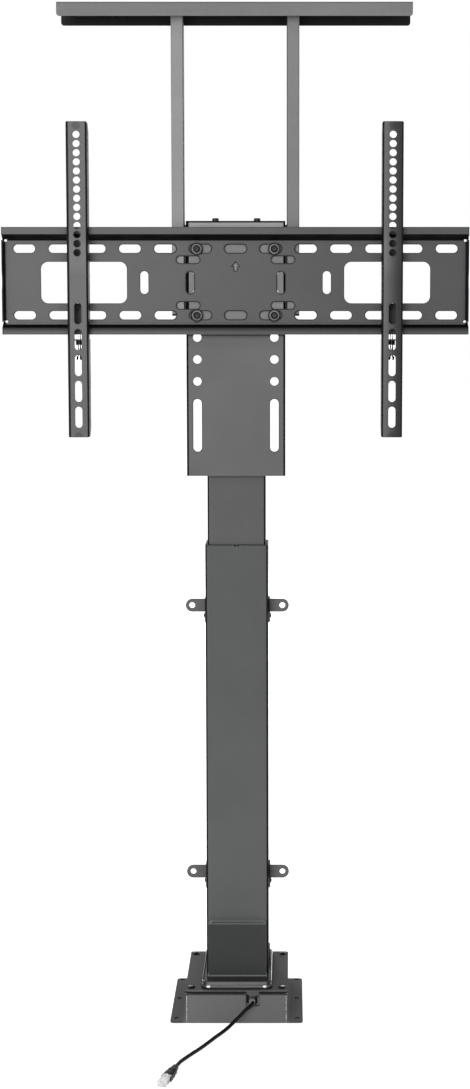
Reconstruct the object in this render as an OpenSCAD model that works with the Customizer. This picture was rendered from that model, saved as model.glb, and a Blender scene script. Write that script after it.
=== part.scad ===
// Motorized lift stand for a television
// A telescopic column on a flat base raises a slotted wall plate with two hook arms,
// and two posts carry a tray that lifts the lid of a cabinet.
// Shown fully raised. Z is up, the front faces minus Y, the origin is on the floor
// under the axis of the column.

/* [Base] */
// Width of the base box
base_w = 144.5; // [132:0.5:170]
// Depth of the base box
base_d = 155; // [145:1:200]
// How far the middle of the base lies in front of the axis of the column
base_shift = 6.5; // [4:0.5:8]
// Height of the top face of the base above the floor
base_h = 45.5; // [40:0.5:60]
// Thickness of the folded sheet of the box and its feet
sheet_t = 2; // [1.5:0.5:3]
// Width of each foot beside the box
foot_w = 22.8; // [20:0.2:40]
// Corner radius of the feet
foot_r = 5; // [2:1:9]
// Distance of the front hole from the front end of the foot
foot_hole_front = 13; // [6:0.5:30]
// Distance of the rear hole from the rear end of the foot
foot_hole_rear = 5; // [4.5:0.5:30]
// Distance of the holes from the outer edge of the foot
foot_hole_in = 8.2; // [6:0.2:11]
// Diameter of the holes in the feet
foot_hole_d = 5.5; // [4:0.5:8]
// Thickness of the top plate of the base
top_t = 2.5; // [2:0.5:4]
// Overhang of the top plate beyond the sides of the box
top_over = 1.5; // [0.5:0.5:2]
// How far the front and rear edges of the top plate lie inside the box
top_inset = 3; // [2.5:0.5:4]
// Corner radius of the top plate
top_r = 4; // [2:1:10]
// Gap between the top plate and the front and rear walls of the box
top_slot = 0.6; // [0.4:0.2:3]
// Width of the tongue of the top plate over the cable outlet
tongue_w = 18; // [14:0.5:18.5]
// Distance between the left and right top plate screws
screw_gap_x = 131; // [124:1:133]
// Distance of the front screws behind the front wall
screw_front = 17.5; // [13:0.5:24]
// Distance of the rear screws in front of the rear wall
screw_rear = 12; // [10:0.5:24]
// Diameter of the top plate screws
screw_d = 4.8; // [3:0.2:6]
// Diameter of the pan heads
pan_d = 9.4; // [7:0.2:11]
// Height of the pan heads
pan_h = 3; // [2:0.5:4]

/* [Collar and covers] */
// Width of the moulded collar round the foot of the column
collar_w = 102.5; // [100:0.5:110]
// Depth of the moulded collar
collar_d = 134.5; // [128:0.5:138]
// Height of the bead round the collar
collar_h = 9.5; // [7:0.5:16]
// Height of the groove inside the bead, where the covers stand
groove_h = 6; // [3:0.5:6.5]
// Width of the bead at the front and rear
bead_d = 12; // [9:0.5:14]
// Width of the bead at the sides
bead_w = 3.4; // [3.2:0.1:4]
// Width of the drive covers
cover_w = 83; // [70:1:86]
// How far the drive covers stand out from the column
cover_out = 12; // [8:1:14]
// Height of the drive covers
cover_h = 80.5; // [60:0.5:100]
// Wall of the drive covers
cover_t = 2; // [1.5:0.5:3]
// Corner radius at the top of the drive covers
cover_r = 5; // [2:1:10]

/* [Column] */
// Width of the outer tube
outer_w = 90; // [88:1:94]
// Depth of the outer tube
outer_d = 60; // [58:1:64]
// Wall of the outer tube
outer_t = 2; // [1.5:0.1:2.4]
// Corner radius of the outer tube
outer_r = 5; // [3:0.5:7]
// Height of the rim of the outer tube above the floor
rim_z = 681.5; // [640:0.5:740]
// Width of the inner tube
inner_w = 83; // [79:1:83]
// Depth of the inner tube
inner_d = 53; // [49:1:53]
// Wall of the inner tube
inner_t = 1.8; // [1.2:0.1:2.4]
// Corner radius of the inner tube
inner_r = 4; // [2.5:0.5:6]
// Height of the lower end of the inner tube when fully raised
inner_bottom = 585; // [575:1:600]
// Height of the top of the inner tube when fully raised
inner_top = 1139.5; // [1100:0.5:1180]
// Sliding gap between the glides and the tubes
slide_gap = 0.3; // [0.2:0.05:0.5]
// Depth of the rim glide inside the outer tube
rim_glide_h = 30; // [15:1:40]
// Thickness of the flange of the rim glide
rim_flange_t = 1; // [0.8:0.2:2]
// Height of the glide pads on the inner tube
pad_h = 40; // [20:1:50]

/* [Cabinet ears] */
// Distance between the holes of a left and a right ear
ear_hole_gap = 131; // [124:1:140]
// Height of the holes in the upper ears
ear_top_z = 590.5; // [540:0.5:600]
// Height of the holes in the lower ears
ear_low_z = 194.5; // [180:0.5:260]
// Diameter of the holes in the ears
ear_hole_d = 8.5; // [6:0.5:10]
// Height of an ear, which is the diameter of its round end
ear_h = 19; // [16:0.5:24]
// Thickness of the ears
ear_t = 2.5; // [2:0.5:4]
// Depth of the leg that lies along the side of the column
ear_leg = 24; // [18:1:28]
// Height of the leg
ear_leg_h = 35; // [30:1:44]
// Distance of the leg's screw below the hole of the ear
ear_screw_drop = 16.5; // [14:0.5:20]

/* [Drive] */
// Thickness of the plate under the motor
mount_t = 3; // [2:0.5:5]
// Diameter of the motor
motor_d = 42; // [36:1:50]
// Height of the motor
motor_h = 58; // [40:1:59]
// Diameter of the gearbox
gear_d = 45; // [40:1:52]
// Height of the gearbox
gear_h = 24; // [16:1:25]
// Thickness of the bearing plate
bearing_plate_t = 4; // [3:0.5:5]
// Height of the thrust bearing
bearing_h = 7; // [5:0.5:7.5]
// Diameter of the thrust bearing
bearing_d = 28; // [24:1:34]
// Diameter of the spindle
spindle_d = 14; // [12:0.5:16]
// Diameter of the journals at the foot of the spindle
journal_d = 10; // [8:0.5:11]
// Thickness of the thrust collar on the spindle
thrust_t = 2.6; // [2:0.1:3]
// Radial running clearance of the turning parts
run_gap = 0.06; // [0.04:0.01:0.1]
// Height of the nut
nut_h = 34; // [20:1:40]
// Thickness of the nut carrier at the foot of the inner tube
carrier_t = 6; // [4:0.5:8]
// Length of the spindle above the nut when fully raised
spindle_over = 4; // [2:1:20]

/* [Head plate] */
// Width of the head plate
head_w = 140; // [132:1:142]
// Height of the head plate
head_h = 360; // [330:0.5:400]
// Thickness of the head plate
head_t = 2.5; // [2:0.5:3]
// Depth of the side returns of the head plate
head_side = 18; // [14:0.5:19]
// Gap between the head plate and the front of the outer tube
head_gap = 3.5; // [2.5:0.5:6]
// Distance between the two rows of holes
hole_gap_x = 109; // [107:1:112]
// Pitch of the holes in each row
hole_pitch = 31; // [28:0.5:33]
// Diameter of the holes and width of the long slots
hole_d = 12.3; // [11:0.1:12.4]
// Number of holes in each row
hole_n = 7; // [7:1:7]
// Height of the lowest hole
hole_low_z = 916.4; // [914:0.2:918]
// Height of the lower end of the long slots
slot_low_z = 816.5; // [800:0.5:830]
// Length of the long slots
slot_len = 75; // [50:1:80]
// Diameter of the screws through the top of the head plate
cap_screw_d = 6; // [5:0.5:8]
// Distance between the screws through the top of the head plate
cap_screw_gap = 59.5; // [50:0.5:62]

/* [Wall plate] */
// Width of the wall plate
plate_w = 655; // [620:1:700]
// Height of the wall plate
plate_h = 150; // [148:1:154]
// Height of the middle of the wall plate
plate_z = 1057.5; // [1057:0.5:1058]
// Thickness of the wall plate
plate_t = 2; // [1.5:0.5:2.5]
// Height of the flat lips along the top and bottom
lip_h = 9.5; // [8:0.5:10]
// How far the lips stand in front of the middle of the plate
lip_out = 10; // [9:0.5:12]
// Height of the slanting bend behind each lip
bend_h = 7.5; // [6:0.5:8]
// Pitch of the horizontal slots
row_pitch = 49.5; // [48:0.5:51]
// Number of slots on each side of the middle one
row_n = 6; // [4:1:6]
// Height between the two rows of slots
row_gap = 93.2; // [92:0.2:94]
// Length of the horizontal slots
row_len = 30.5; // [28:0.5:34]
// Width of the horizontal slots
row_slot_w = 11.7; // [9:0.1:12]
// Width of the windows
window_w = 121; // [100:1:126]
// Height of the windows
window_h = 58; // [40:1:64]
// Distance of the middle of each window from the middle of the plate
window_x = 213.5; // [210:0.5:216]
// Corner radius of the windows
window_r = 10; // [5:1:16]
// Distance of the outer upright slots from the middle of the plate
upright_far = 128.5; // [122:0.5:134]
// Distance of the inner upright slots from the middle of the plate
upright_near = 64; // [60:0.5:66]
// Distance of the short slots from the middle of the plate
short_x = 66.8; // [64:0.2:70]
// Height between the upper and lower short slots
short_gap = 64; // [60:1:66]
// Length of the upright slots
upright_len = 32; // [24:1:40]
// Width of the upright slots
upright_w = 11.4; // [8:0.1:12]
// Length of the four short slots beside the posts
short_len = 32.5; // [26:0.5:34]
// Width of the four short slots
short_w = 9.8; // [7:0.1:11]

/* [Plate bolts] */
// Diameter of the plate bolts
bolt_d = 6; // [5:0.5:8]
// Diameter of the bolt heads
bolt_head_d = 10; // [9:0.5:12]
// Height of the bolt heads
bolt_head_h = 6; // [5:0.5:8]
// Diameter of the washers
washer_d = 17.6; // [16:0.2:18.4]
// Thickness of the washers
washer_t = 1.8; // [1:0.2:2.4]
// Thickness of the nuts
nut_t = 6; // [5:0.5:6.5]

/* [Posts and tray] */
// Width of the square posts
post_w = 17.8; // [16:0.2:20]
// Wall of the posts
post_t = 1.5; // [1:0.25:2]
// Gap between the head plate and each post
post_gap = 2; // [1.5:0.5:4]
// Height of the lower end of the posts
post_low_z = 1009; // [1004:0.5:1014]
// Diameter of the screws that hold the posts
post_screw_d = 6; // [5:0.5:6]
// Height of the lower post screws above the lower edge of the wall plate
post_screw_up = 47; // [44:0.5:60]
// Distance of the upper post screws below the upper edge of the wall plate
post_screw_down = 5.5; // [5:0.5:20]
// How far the spacers of the posts reach above the wall plate
spacer_over = 4; // [2:0.5:6]
// Length of the tray
tray_w = 493; // [400:1:560]
// Depth of the tray
tray_d = 50; // [44:1:70]
// Height of the top of the tray
tray_z = 1441; // [1400:0.5:1500]
// Thickness of the sheet of the tray
tray_t = 2; // [1.5:0.5:3]
// Height of the front lip of the tray
tray_lip = 19.5; // [14:0.5:24]
// Height of the rear lip of the tray
tray_back = 23.5; // [16:0.5:30]
// Corner radius of the lips of the tray
tray_r = 4; // [2:0.5:8]

/* [Arms] */
// Distance between the middles of the two arms
arm_gap = 439; // [400:1:460]
// Width of each arm
arm_w = 29.5; // [28:0.5:34]
// Height of each arm
arm_h = 438; // [425:1:450]
// Height of the top of the arms
arm_top_z = 1276.5; // [1272:0.5:1281]
// Thickness of the sheet of the arms
arm_t = 2; // [1.5:0.5:2.5]
// How far the arms stand in front of the lips of the wall plate
arm_out = 14; // [12:0.5:18]
// Number of round holes in each arm
arm_hole_n = 14; // [8:1:14]
// Pitch of the round holes in each arm
arm_pitch = 12.5; // [12.2:0.1:12.8]
// Diameter of the round holes and width of the slots
arm_hole_d = 10; // [8:0.2:10.4]
// Number of slots in each arm
arm_slot_n = 5; // [3:1:5]
// Pitch of the slots in each arm
arm_slot_pitch = 36.2; // [35:0.1:37]
// Length of the slots in each arm
arm_slot_len = 29.5; // [24:0.5:31]
// Diameter of the lock screws
lock_d = 5; // [4:0.5:6]
// Thickness of the lock brackets
lock_t = 2; // [1.5:0.5:3]
// Length of the lock screws without their heads
lock_len = 30; // [26:1:40]

/* [Cable] */
// Diameter of the cable
cable_d = 5; // [4:0.1:5.4]
// Distance of the cable outlet to the right of the middle
gland_x = 23.4; // [20:0.2:26]
// Height of the cable outlet above the floor
gland_z = 31.5; // [30.5:0.1:32.5]
// Diameter of the nose of the gland
gland_d = 11.8; // [9:0.2:12.4]
// Width of the cut-out for the gland
gland_w = 19; // [19:0.5:22]
// Thickness of the block of the gland behind the wall
block_t = 4; // [3:0.5:6]
// Length of the boot on the plug
boot_l = 31.5; // [24:0.5:40]
// Width of the modular plug
plug_w = 11.7; // [9:0.1:12]
// Height of the modular plug
plug_h = 8; // [6.5:0.1:9]
// Length of the modular plug
plug_l = 22; // [18:0.5:26]

/* [Hidden] */
$fn = 48;
eps = 0.01;

// Base levels
top_under = base_h - top_t;
wall_top = top_under - top_slot;
base_y = -base_shift;
base_front = base_y - base_d / 2;
base_back = base_y + base_d / 2;
screw_y = [base_front + screw_front, base_back - screw_rear];
foot_front_y = base_front + foot_hole_front;
foot_rear_y = base_back - foot_hole_rear;
foot_hole_y = [foot_front_y, (foot_front_y + foot_rear_y) / 2, foot_rear_y];
tab_w = screw_d + 9;
lead_hole_d = cable_d + 5;
nose_l = 1.5;
tongue_drop = 3;
bend_in = 1;

// Column levels
cover_z = base_h + groove_h;
outer_face = outer_d / 2;
pad_gap_x = (outer_w - inner_w) / 2 - outer_t;
pad_gap_y = (outer_d - inner_d) / 2 - outer_t;
motor_z = base_h + mount_t;
gear_z = motor_z + motor_h;
bearing_plate_z = gear_z + gear_h;
bearing_z = bearing_plate_z + bearing_plate_t;
thrust_z = bearing_z + bearing_h + run_gap;
spindle_z = thrust_z + thrust_t;
nut_z = inner_bottom + carrier_t;
spindle_top = nut_z + nut_h + spindle_over;
cap_t = 5;
ear_bend = ear_t + bend_in;
fit_gap = 0.2;

// Head plate, wall plate and post positions
head_front = -outer_face - head_gap - head_t;
head_back = head_front + head_t;
head_top = inner_top + head_t;
head_x = head_w / 2;
web_back = head_front;
web_front = web_back - plate_t;
lip_back = web_back - lip_out;
lip_front = lip_back - plate_t;
plate_top = plate_z + plate_h / 2;
plate_low = plate_z - plate_h / 2;
row_z = [plate_z - 1.2 - row_gap / 2, plate_z - 1.2 + row_gap / 2];
bolt_rows = [3, 6];
post_x = head_x + post_gap + post_w / 2;
post_y = head_front + post_w / 2 + 0.5;
post_top = tray_z - tray_t;
post_screw_z = [plate_low + post_screw_up, plate_top - post_screw_down];
plug_h_post = 3;
insert_h = 22;

// Arm positions
arm_front = lip_front - arm_out;
arm_low_z = arm_top_z - arm_h;
arm_x = arm_gap / 2;
arm_rest_gap = 0.3;
arm_back = web_front - 3;
lock_y = (lip_front + lip_back) / 2;
lock_z = plate_low - 8.5;
arm_hole_z = arm_top_z - 18;
arm_slot_z = arm_low_z + 28.3;

// Route of the free cable from the gland to its plug
route = [
    [23.4, -87, 31.5], [23.4, -89, 31.5], [22.6, -92.6, 31.2], [20.4, -96, 30.2],
    [17.2, -98.2, 28.6], [13.6, -99.4, 26], [10, -100.3, 22.7], [6.3, -101.4, 19.1],
    [2.4, -102.9, 15.5], [-1.7, -105, 12.1], [-6, -107.9, 8.9], [-10.4, -111.6, 6.2],
    [-14.8, -116.1, 4.2], [-19, -121.4, 3], [-23, -127.4, 2.6], [-26.8, -133.8, 2.5],
    [-30.5, -140.5, 2.5], [-34.2, -147.4, 2.5], [-37.9, -154.4, 2.5], [-41.7, -161.3, 2.5],
    [-45.6, -168, 2.5], [-49.6, -174.6, 2.5], [-53.7, -181, 2.5], [-57.8, -187.3, 2.5],
    [-61.8, -193.8, 2.5], [-65.5, -200.6, 2.7], [-68.9, -207.7, 3.2], [-71.8, -215.2, 3.9],
    [-74.2, -223.1, 4.4], [-76, -229, 4.5]
];
plug_dir = -107;
plug_z = 4.5;

// Route of the lead inside the base, from the motor to the gland
lead_route = [
    [0, 18, 48], [0, 18, 40], [1.5, 17, 32], [6, 12, 25], [11, 2, 20.5], [15, -12, 19],
    [18, -28, 20], [20, -44, 24], [gland_x, base_front + 26, gland_z - 3],
    [gland_x, base_front + 17, gland_z - 0.8], [gland_x, base_front + 11, gland_z],
    [gland_x, base_front + sheet_t + block_t, gland_z]
];

// Rounded rectangle with true arcs at its corners
module round_rect(w, d, r) {
    square([w - 2 * r, d], center = true);
    square([w, d - 2 * r], center = true);
    for (x = [-1, 1], y = [-1, 1])
        translate([x * (w / 2 - r), y * (d / 2 - r)])
            circle(r);
}

// Rectangular tube with true arcs at its corners
module tube_rect(w, d, r, t, h) {
    linear_extrude(h)
        difference() {
            round_rect(w, d, r);
            round_rect(w - 2 * t, d - 2 * t, max(r - t, 0.4));
        }
}

// Flat slot outline, long along X
module slot_2d(len, w) {
    square([len - w, w], center = true);
    for (s = [-1, 1])
        translate([s * (len - w) / 2, 0])
            circle(d = w);
}

// Turns an outline drawn in X and Z into a cutter or plate that runs back along Y
module facing_front(y0, y1) {
    translate([0, y1, 0])
        rotate([90, 0, 0])
            linear_extrude(y1 - y0)
                children();
}

// Folded sheet that follows a list of points, with round bends
module folded(points, t) {
    for (i = [0 : len(points) - 2]) {
        a = points[i];
        b = points[i + 1];
        run = norm(b - a);
        translate(a)
            rotate(atan2(b[1] - a[1], b[0] - a[0]))
                translate([0, -t / 2])
                    square([run, t]);
    }
    for (i = [1 : len(points) - 2])
        translate(points[i])
            circle(d = t, $fn = 24);
}

// Outline of a folded channel that opens towards plus Y, with round bends
module channel_2d(w, side, t, r) {
    difference() {
        union() {
            translate([-w / 2, r])
                square([w, side - r]);
            translate([r - w / 2, 0])
                square([w - 2 * r, r + eps]);
            for (s = [-1, 1])
                translate([s * (w / 2 - r), r])
                    circle(r);
        }
        translate([t - w / 2, r])
            square([w - 2 * t, side]);
        translate([r - w / 2, t])
            square([w - 2 * r, r]);
        for (s = [-1, 1])
            translate([s * (w / 2 - r), r])
                circle(r - t);
    }
}

// Quarter of a round bend in the corner at the origin, between plus X and plus Y
module bend_2d(t, r) {
    intersection() {
        square(r);
        translate([r, r])
            difference() {
                circle(r);
                circle(r - t);
            }
    }
}

// Cutter that rounds the front upper edge of a sheet, along X
module round_front_edge(len, y, z, r) {
    translate([-len / 2, y, z])
        rotate([90, 0, 90])
            linear_extrude(len)
                difference() {
                    translate([-1, -r])
                        square([r + 1, r + 1]);
                    translate([r, -r])
                        circle(r);
                }
}

// Pan head screw standing on the origin, with its shank downwards
module pan_screw(d, head_d, head_h, shank) {
    difference() {
        union() {
            intersection() {
                cylinder(d = head_d, h = head_h);
                translate([0, 0, head_h - head_d * 0.72])
                    sphere(d = head_d * 1.44);
            }
            translate([0, 0, -shank])
                cylinder(d = d, h = shank + eps);
        }
        for (a = [0, 90])
            rotate(a)
                translate([-head_d / 4, -0.5, head_h - 1.2])
                    cube([head_d / 2, 1, 2]);
    }
}

// Socket head screw standing on the origin, with its shank downwards
module socket_screw(d, head_d, head_h, shank) {
    difference() {
        union() {
            cylinder(d = head_d, h = head_h - 0.8 + eps);
            translate([0, 0, head_h - 0.8])
                cylinder(d1 = head_d, d2 = head_d - 1.6, h = 0.8);
            translate([0, 0, -shank])
                cylinder(d = d, h = shank + eps);
        }
        translate([0, 0, head_h * 0.45])
            cylinder(d = head_d * 0.52, h = head_h, $fn = 6);
    }
}

// Tube swept along a route, one ring of points at each stop
function unit(v) = v / norm(v);
function stop_dir(p, i) = unit(p[min(i + 1, len(p) - 1)] - p[max(i - 1, 0)]);
function side_dir(t) = unit(cross(t, abs(t[2]) > 0.9 ? [1, 0, 0] : [0, 0, 1]));
function ring_at(p, t, r, n) =
    let (u = side_dir(t), v = cross(u, t))
    [for (k = [0 : n - 1]) p + r * (cos(360 * k / n) * u + sin(360 * k / n) * v)];

module swept_cord(points, d, n = 8) {
    last = len(points) - 1;
    rings = [for (i = [0 : last]) each ring_at(points[i], stop_dir(points, i), d / 2, n)];
    sides = [
        for (i = [0 : last - 1], k = [0 : n - 1])
            let (a = i * n + k, b = i * n + (k + 1) % n)
            each [[a, b + n, b], [a, a + n, b + n]]
    ];
    first_cap = [for (k = [1 : n - 2]) [0, k, k + 1]];
    last_cap = [for (k = [1 : n - 2]) [last * n, last * n + k + 1, last * n + k]];
    polyhedron(rings, concat(sides, first_cap, last_cap), convexity = 6);
}

// Folded box with a foot along each side
module base_box() {
    color("#474747")
        difference() {
            union() {
                walls_and_feet();
                for (y = [base_front + sheet_t / 2, base_back - sheet_t / 2])
                    translate([0, y, wall_top / 2])
                        cube([base_w - eps, sheet_t, wall_top], center = true);
                for (s = [-1, 1], y = screw_y)
                    translate([s * (base_w / 2 - tab_w / 2 - sheet_t / 2), y, top_under - sheet_t / 2])
                        cube([tab_w + sheet_t, tab_w, sheet_t], center = true);
            }
            for (x = [-1, 1], y = screw_y)
                translate([x * screw_gap_x / 2, y, top_under - 2 * sheet_t])
                    cylinder(d = screw_d + 0.2, h = 3 * sheet_t);
            for (s = [-1, 1], y = foot_hole_y)
                translate([s * (base_w / 2 + foot_w - foot_hole_in), y, -1])
                    cylinder(d = foot_hole_d, h = sheet_t + 2);
            translate([gland_x, base_front, 0])
                gland_cut();
        }
}

// Side walls that turn outwards into the feet
module walls_and_feet() {
    intersection() {
        translate([0, base_back + 1, 0])
            rotate([90, 0, 0])
                linear_extrude(base_d + 2)
                    for (s = [0, 1])
                        mirror([s, 0])
                            translate([base_w / 2 - sheet_t, 0])
                                wall_and_foot_2d();
        translate([0, base_y, -1])
            linear_extrude(top_under + 2)
                round_rect(base_w + 2 * foot_w, base_d, foot_r);
    }
}

module wall_and_foot_2d() {
    r = sheet_t + bend_in;
    translate([0, r])
        square([sheet_t, top_under - r]);
    translate([r, 0])
        square([foot_w + sheet_t - r, sheet_t]);
    bend_2d(sheet_t, r);
}

module gland_cut() {
    low = gland_z - gland_d / 2 - 0.4;
    facing_front(-sheet_t, 2 * sheet_t) {
        translate([-gland_w / 2, low + 3])
            square([gland_w, top_under - low]);
        translate([-gland_w / 2 + 3, low])
            square([gland_w - 6, 4]);
        for (s = [-1, 1])
            translate([s * (gland_w / 2 - 3), low + 3])
                circle(3);
    }
}

// Cover under the box
module base_floor() {
    color("#3a3a3a")
        translate([0, base_y, 0])
            linear_extrude(sheet_t)
                round_rect(base_w - 2 * sheet_t - 2 * fit_gap, base_d - 2 * sheet_t - 2 * fit_gap, 1);
}

// Top plate with holes for its screws and the motor lead, and a tongue over the cable outlet
module base_top() {
    color("#4b4b4b") {
        translate([0, 0, top_under])
            difference() {
                union() {
                    translate([0, base_y, 0])
                        linear_extrude(top_t)
                            round_rect(base_w + 2 * top_over, base_d - 2 * top_inset, top_r);
                    translate([gland_x - tongue_w / 2, base_front, 0])
                        cube([tongue_w, top_inset + 1, top_t]);
                }
                for (x = [-1, 1], y = screw_y)
                    translate([x * screw_gap_x / 2, y, -1])
                        cylinder(d = screw_d + 0.6, h = top_t + 2);
                translate([lead_route[0][0], lead_route[0][1], -1])
                    cylinder(d = lead_hole_d, h = top_t + 2);
            }
        facing_front(base_front, base_front + sheet_t)
            translate([gland_x, top_under])
                polygon([
                    [-tongue_w / 2, top_t - eps], [-tongue_w / 2, 0], [-tongue_w / 4, -tongue_drop],
                    [tongue_w / 4, -tongue_drop], [tongue_w / 2, 0], [tongue_w / 2, top_t - eps]
                ]);
    }
}

module top_screws() {
    color("#1c1c1c")
        for (x = [-1, 1], y = screw_y)
            translate([x * screw_gap_x / 2, y, base_h])
                pan_screw(screw_d, pan_d, pan_h, top_t + sheet_t + 3);
}

// Moulded collar with a rounded bead and a groove for the covers
module collar() {
    soft_w = 1.9;
    soft_d = 5;
    color("#151515")
        translate([0, 0, base_h])
            difference() {
                translate([0, base_y, 0])
                    hull()
                        for (a = [0 : 18 : 90])
                            translate([0, 0, (collar_h - eps) * sin(a)])
                                linear_extrude(eps)
                                    collar_outline(soft_w * (1 - cos(a)), soft_d * (1 - cos(a)), 9);
                translate([0, base_y, 0])
                    hull() {
                        translate([0, 0, groove_h])
                            linear_extrude(eps)
                                collar_outline(bead_w, bead_d, 4);
                        translate([0, 0, collar_h])
                            linear_extrude(1)
                                collar_outline(bead_w - 0.8, bead_d - 5, 7);
                    }
                translate([0, 0, -1])
                    linear_extrude(collar_h + 2)
                        round_rect(outer_w + 2 * fit_gap, outer_d + 2 * fit_gap, outer_r + fit_gap);
            }
}

module collar_outline(in_x, in_y, r) {
    round_rect(collar_w - 2 * in_x, collar_d - 2 * in_y, r, $fn = 32);
}

// Shell over the drive, open towards the column, with a flared foot
module drive_cover(foot_side, foot_low, foot_top) {
    y0 = -outer_face - cover_out;
    difference() {
        union() {
            facing_front(y0, -outer_face - fit_gap)
                cover_outline(cover_w, cover_h, cover_r);
            translate([-foot_side / 2, y0 - 1.5, foot_low])
                cube([foot_side, cover_out + 1.5 - fit_gap, foot_top - foot_low]);
        }
        facing_front(y0 + cover_t, -outer_face + 1)
            translate([0, -1])
                cover_outline(cover_w - 2 * cover_t, cover_h - cover_t + 1, cover_r - 1);
    }
}

module cover_outline(w, h, r) {
    translate([-w / 2, 0])
        square([w, h - r]);
    translate([-w / 2 + r, 0])
        square([w - 2 * r, h]);
    for (s = [-1, 1])
        translate([s * (w / 2 - r), h - r])
            circle(r);
}

module drive_cover_front() {
    color("#2b2d2b")
        translate([0, 0, cover_z])
            drive_cover(cover_w + 3, 0, 1.6);
}

module drive_cover_rear() {
    color("#2b2d2b")
        translate([0, 0, cover_z])
            rotate(180)
                drive_cover(outer_w + 3, 0, 17);
}

// Outer tube with a window to the drive behind each cover
module outer_tube() {
    window = [cover_w - 23, outer_d + 2, cover_h - 25];
    color("#474747")
        difference() {
            translate([0, 0, base_h])
                tube_rect(outer_w, outer_d, outer_r, outer_t, rim_z - base_h);
            translate([0, 0, cover_z + 12 + window[2] / 2])
                cube(window, center = true);
            for (s = [-1, 1])
                translate([s * 2.2, -outer_face - 1, rim_z])
                    rotate([-90, 0, 0])
                        cylinder(d = 4.4, h = outer_t + 2, $fn = 4);
            for (s = [-1, 1], z = [ear_top_z, ear_low_z])
                translate([s * (outer_w / 2 + 1), ear_screw_y(), z - ear_screw_drop])
                    rotate([0, -s * 90, 0])
                        cylinder(d = 4, h = outer_t + 2);
        }
}

// Plastic guide in the mouth of the outer tube
module rim_glide() {
    bore_w = inner_w + 2 * slide_gap;
    bore_d = inner_d + 2 * slide_gap;
    fit_w = outer_w - 2 * outer_t - 2 * fit_gap;
    fit_d = outer_d - 2 * outer_t - 2 * fit_gap;
    color("#161616") {
        translate([0, 0, rim_z - rim_glide_h])
            linear_extrude(rim_glide_h + rim_flange_t)
                difference() {
                    round_rect(fit_w, fit_d, outer_r - outer_t);
                    round_rect(bore_w, bore_d, inner_r + slide_gap);
                }
        translate([0, 0, rim_z])
            linear_extrude(rim_flange_t)
                difference() {
                    round_rect(outer_w, outer_d, outer_r);
                    round_rect(bore_w, bore_d, inner_r + slide_gap);
                }
    }
}

// Angle bracket with a round ended tab that faces the front
function ear_screw_y() = ear_leg * 0.45 - ear_t;
module ear(s) {
    reach = ear_hole_gap / 2 - outer_w / 2;
    color("#454545")
        mirror([s > 0 ? 0 : 1, 0, 0])
            translate([outer_w / 2, -ear_t, 0])
                difference() {
                    union() {
                        facing_front(0, ear_t) {
                            translate([ear_bend, -ear_h / 2])
                                square([reach - ear_bend, ear_h]);
                            translate([reach, 0])
                                circle(d = ear_h);
                        }
                        translate([0, 0, -ear_h / 2])
                            linear_extrude(ear_h)
                                bend_2d(ear_t, ear_bend);
                        translate([0, ear_bend, ear_h / 2 - ear_leg_h])
                            cube([ear_t, ear_leg - ear_bend, ear_leg_h]);
                    }
                    translate([reach, ear_t + 1, 0])
                        rotate([90, 0, 0])
                            cylinder(d = ear_hole_d, h = ear_t + 2);
                    translate([-1, ear_screw_y() + ear_t, -ear_screw_drop])
                        rotate([0, 90, 0])
                            cylinder(d = 4.6, h = ear_t + 2);
                }
}

module ear_upper_left() {
    translate([0, 0, ear_top_z])
        ear(-1);
}

module ear_upper_right() {
    translate([0, 0, ear_top_z])
        ear(1);
}

module ear_lower_left() {
    translate([0, 0, ear_low_z])
        ear(-1);
}

module ear_lower_right() {
    translate([0, 0, ear_low_z])
        ear(1);
}

module ear_screws() {
    color("#1c1c1c")
        for (s = [-1, 1], z = [ear_top_z, ear_low_z])
            translate([s * (outer_w / 2 + ear_t), ear_screw_y(), z - ear_screw_drop])
                rotate([0, s * 90, 0])
                    pan_screw(3.9, 7.6, 2.2, ear_t + outer_t - 0.4);
}

// Plate that holds the motor on the base
module motor_plate() {
    color("#6a6c6e")
        translate([0, 0, base_h])
            difference() {
                linear_extrude(mount_t)
                    round_rect(outer_w - 2 * outer_t - 2, outer_d - 2 * outer_t - 2, 2);
                translate([lead_route[0][0], lead_route[0][1], -1])
                    cylinder(d = lead_hole_d, h = mount_t + 2);
            }
}

module drive_motor() {
    color("#2a2a2c")
        translate([0, 0, motor_z])
            difference() {
                union() {
                    cylinder(d = motor_d, h = motor_h);
                    cylinder(d = motor_d + 2, h = 6);
                    translate([0, 0, motor_h - 8])
                        cylinder(d = motor_d + 2, h = 8);
                }
                translate([lead_route[0][0], lead_route[0][1], -1])
                    cylinder(d = lead_hole_d, h = 5);
            }
}

module gearbox() {
    color("#8a8c8e")
        translate([0, 0, gear_z])
            difference() {
                union() {
                    cylinder(d = gear_d, h = gear_h);
                    for (a = [45 : 90 : 315])
                        rotate(a)
                            translate([gear_d / 2 - 2.5, 0, 0])
                                cylinder(d = 7, h = gear_h);
                }
                translate([0, 0, gear_h - 14])
                    cylinder(d = journal_d - 2 + 2 * run_gap, h = 15);
            }
}

module bearing_plate() {
    color("#6a6c6e")
        translate([0, 0, bearing_plate_z])
            difference() {
                linear_extrude(bearing_plate_t)
                    round_rect(outer_w - 2 * outer_t - 2 * fit_gap, outer_d - 2 * outer_t - 2 * fit_gap, outer_r - outer_t);
                translate([0, 0, -1])
                    cylinder(d = journal_d + 2, h = bearing_plate_t + 2);
            }
}

module thrust_bearing() {
    color("#9a9c9e")
        translate([0, 0, bearing_z])
            rotate_extrude()
                difference() {
                    translate([journal_d / 2 + run_gap, 0])
                        square([bearing_d / 2 - journal_d / 2 - run_gap, bearing_h]);
                    translate([bearing_d / 2 - 1.2, bearing_h * 0.38])
                        square([2, bearing_h * 0.24]);
                }
}

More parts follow.
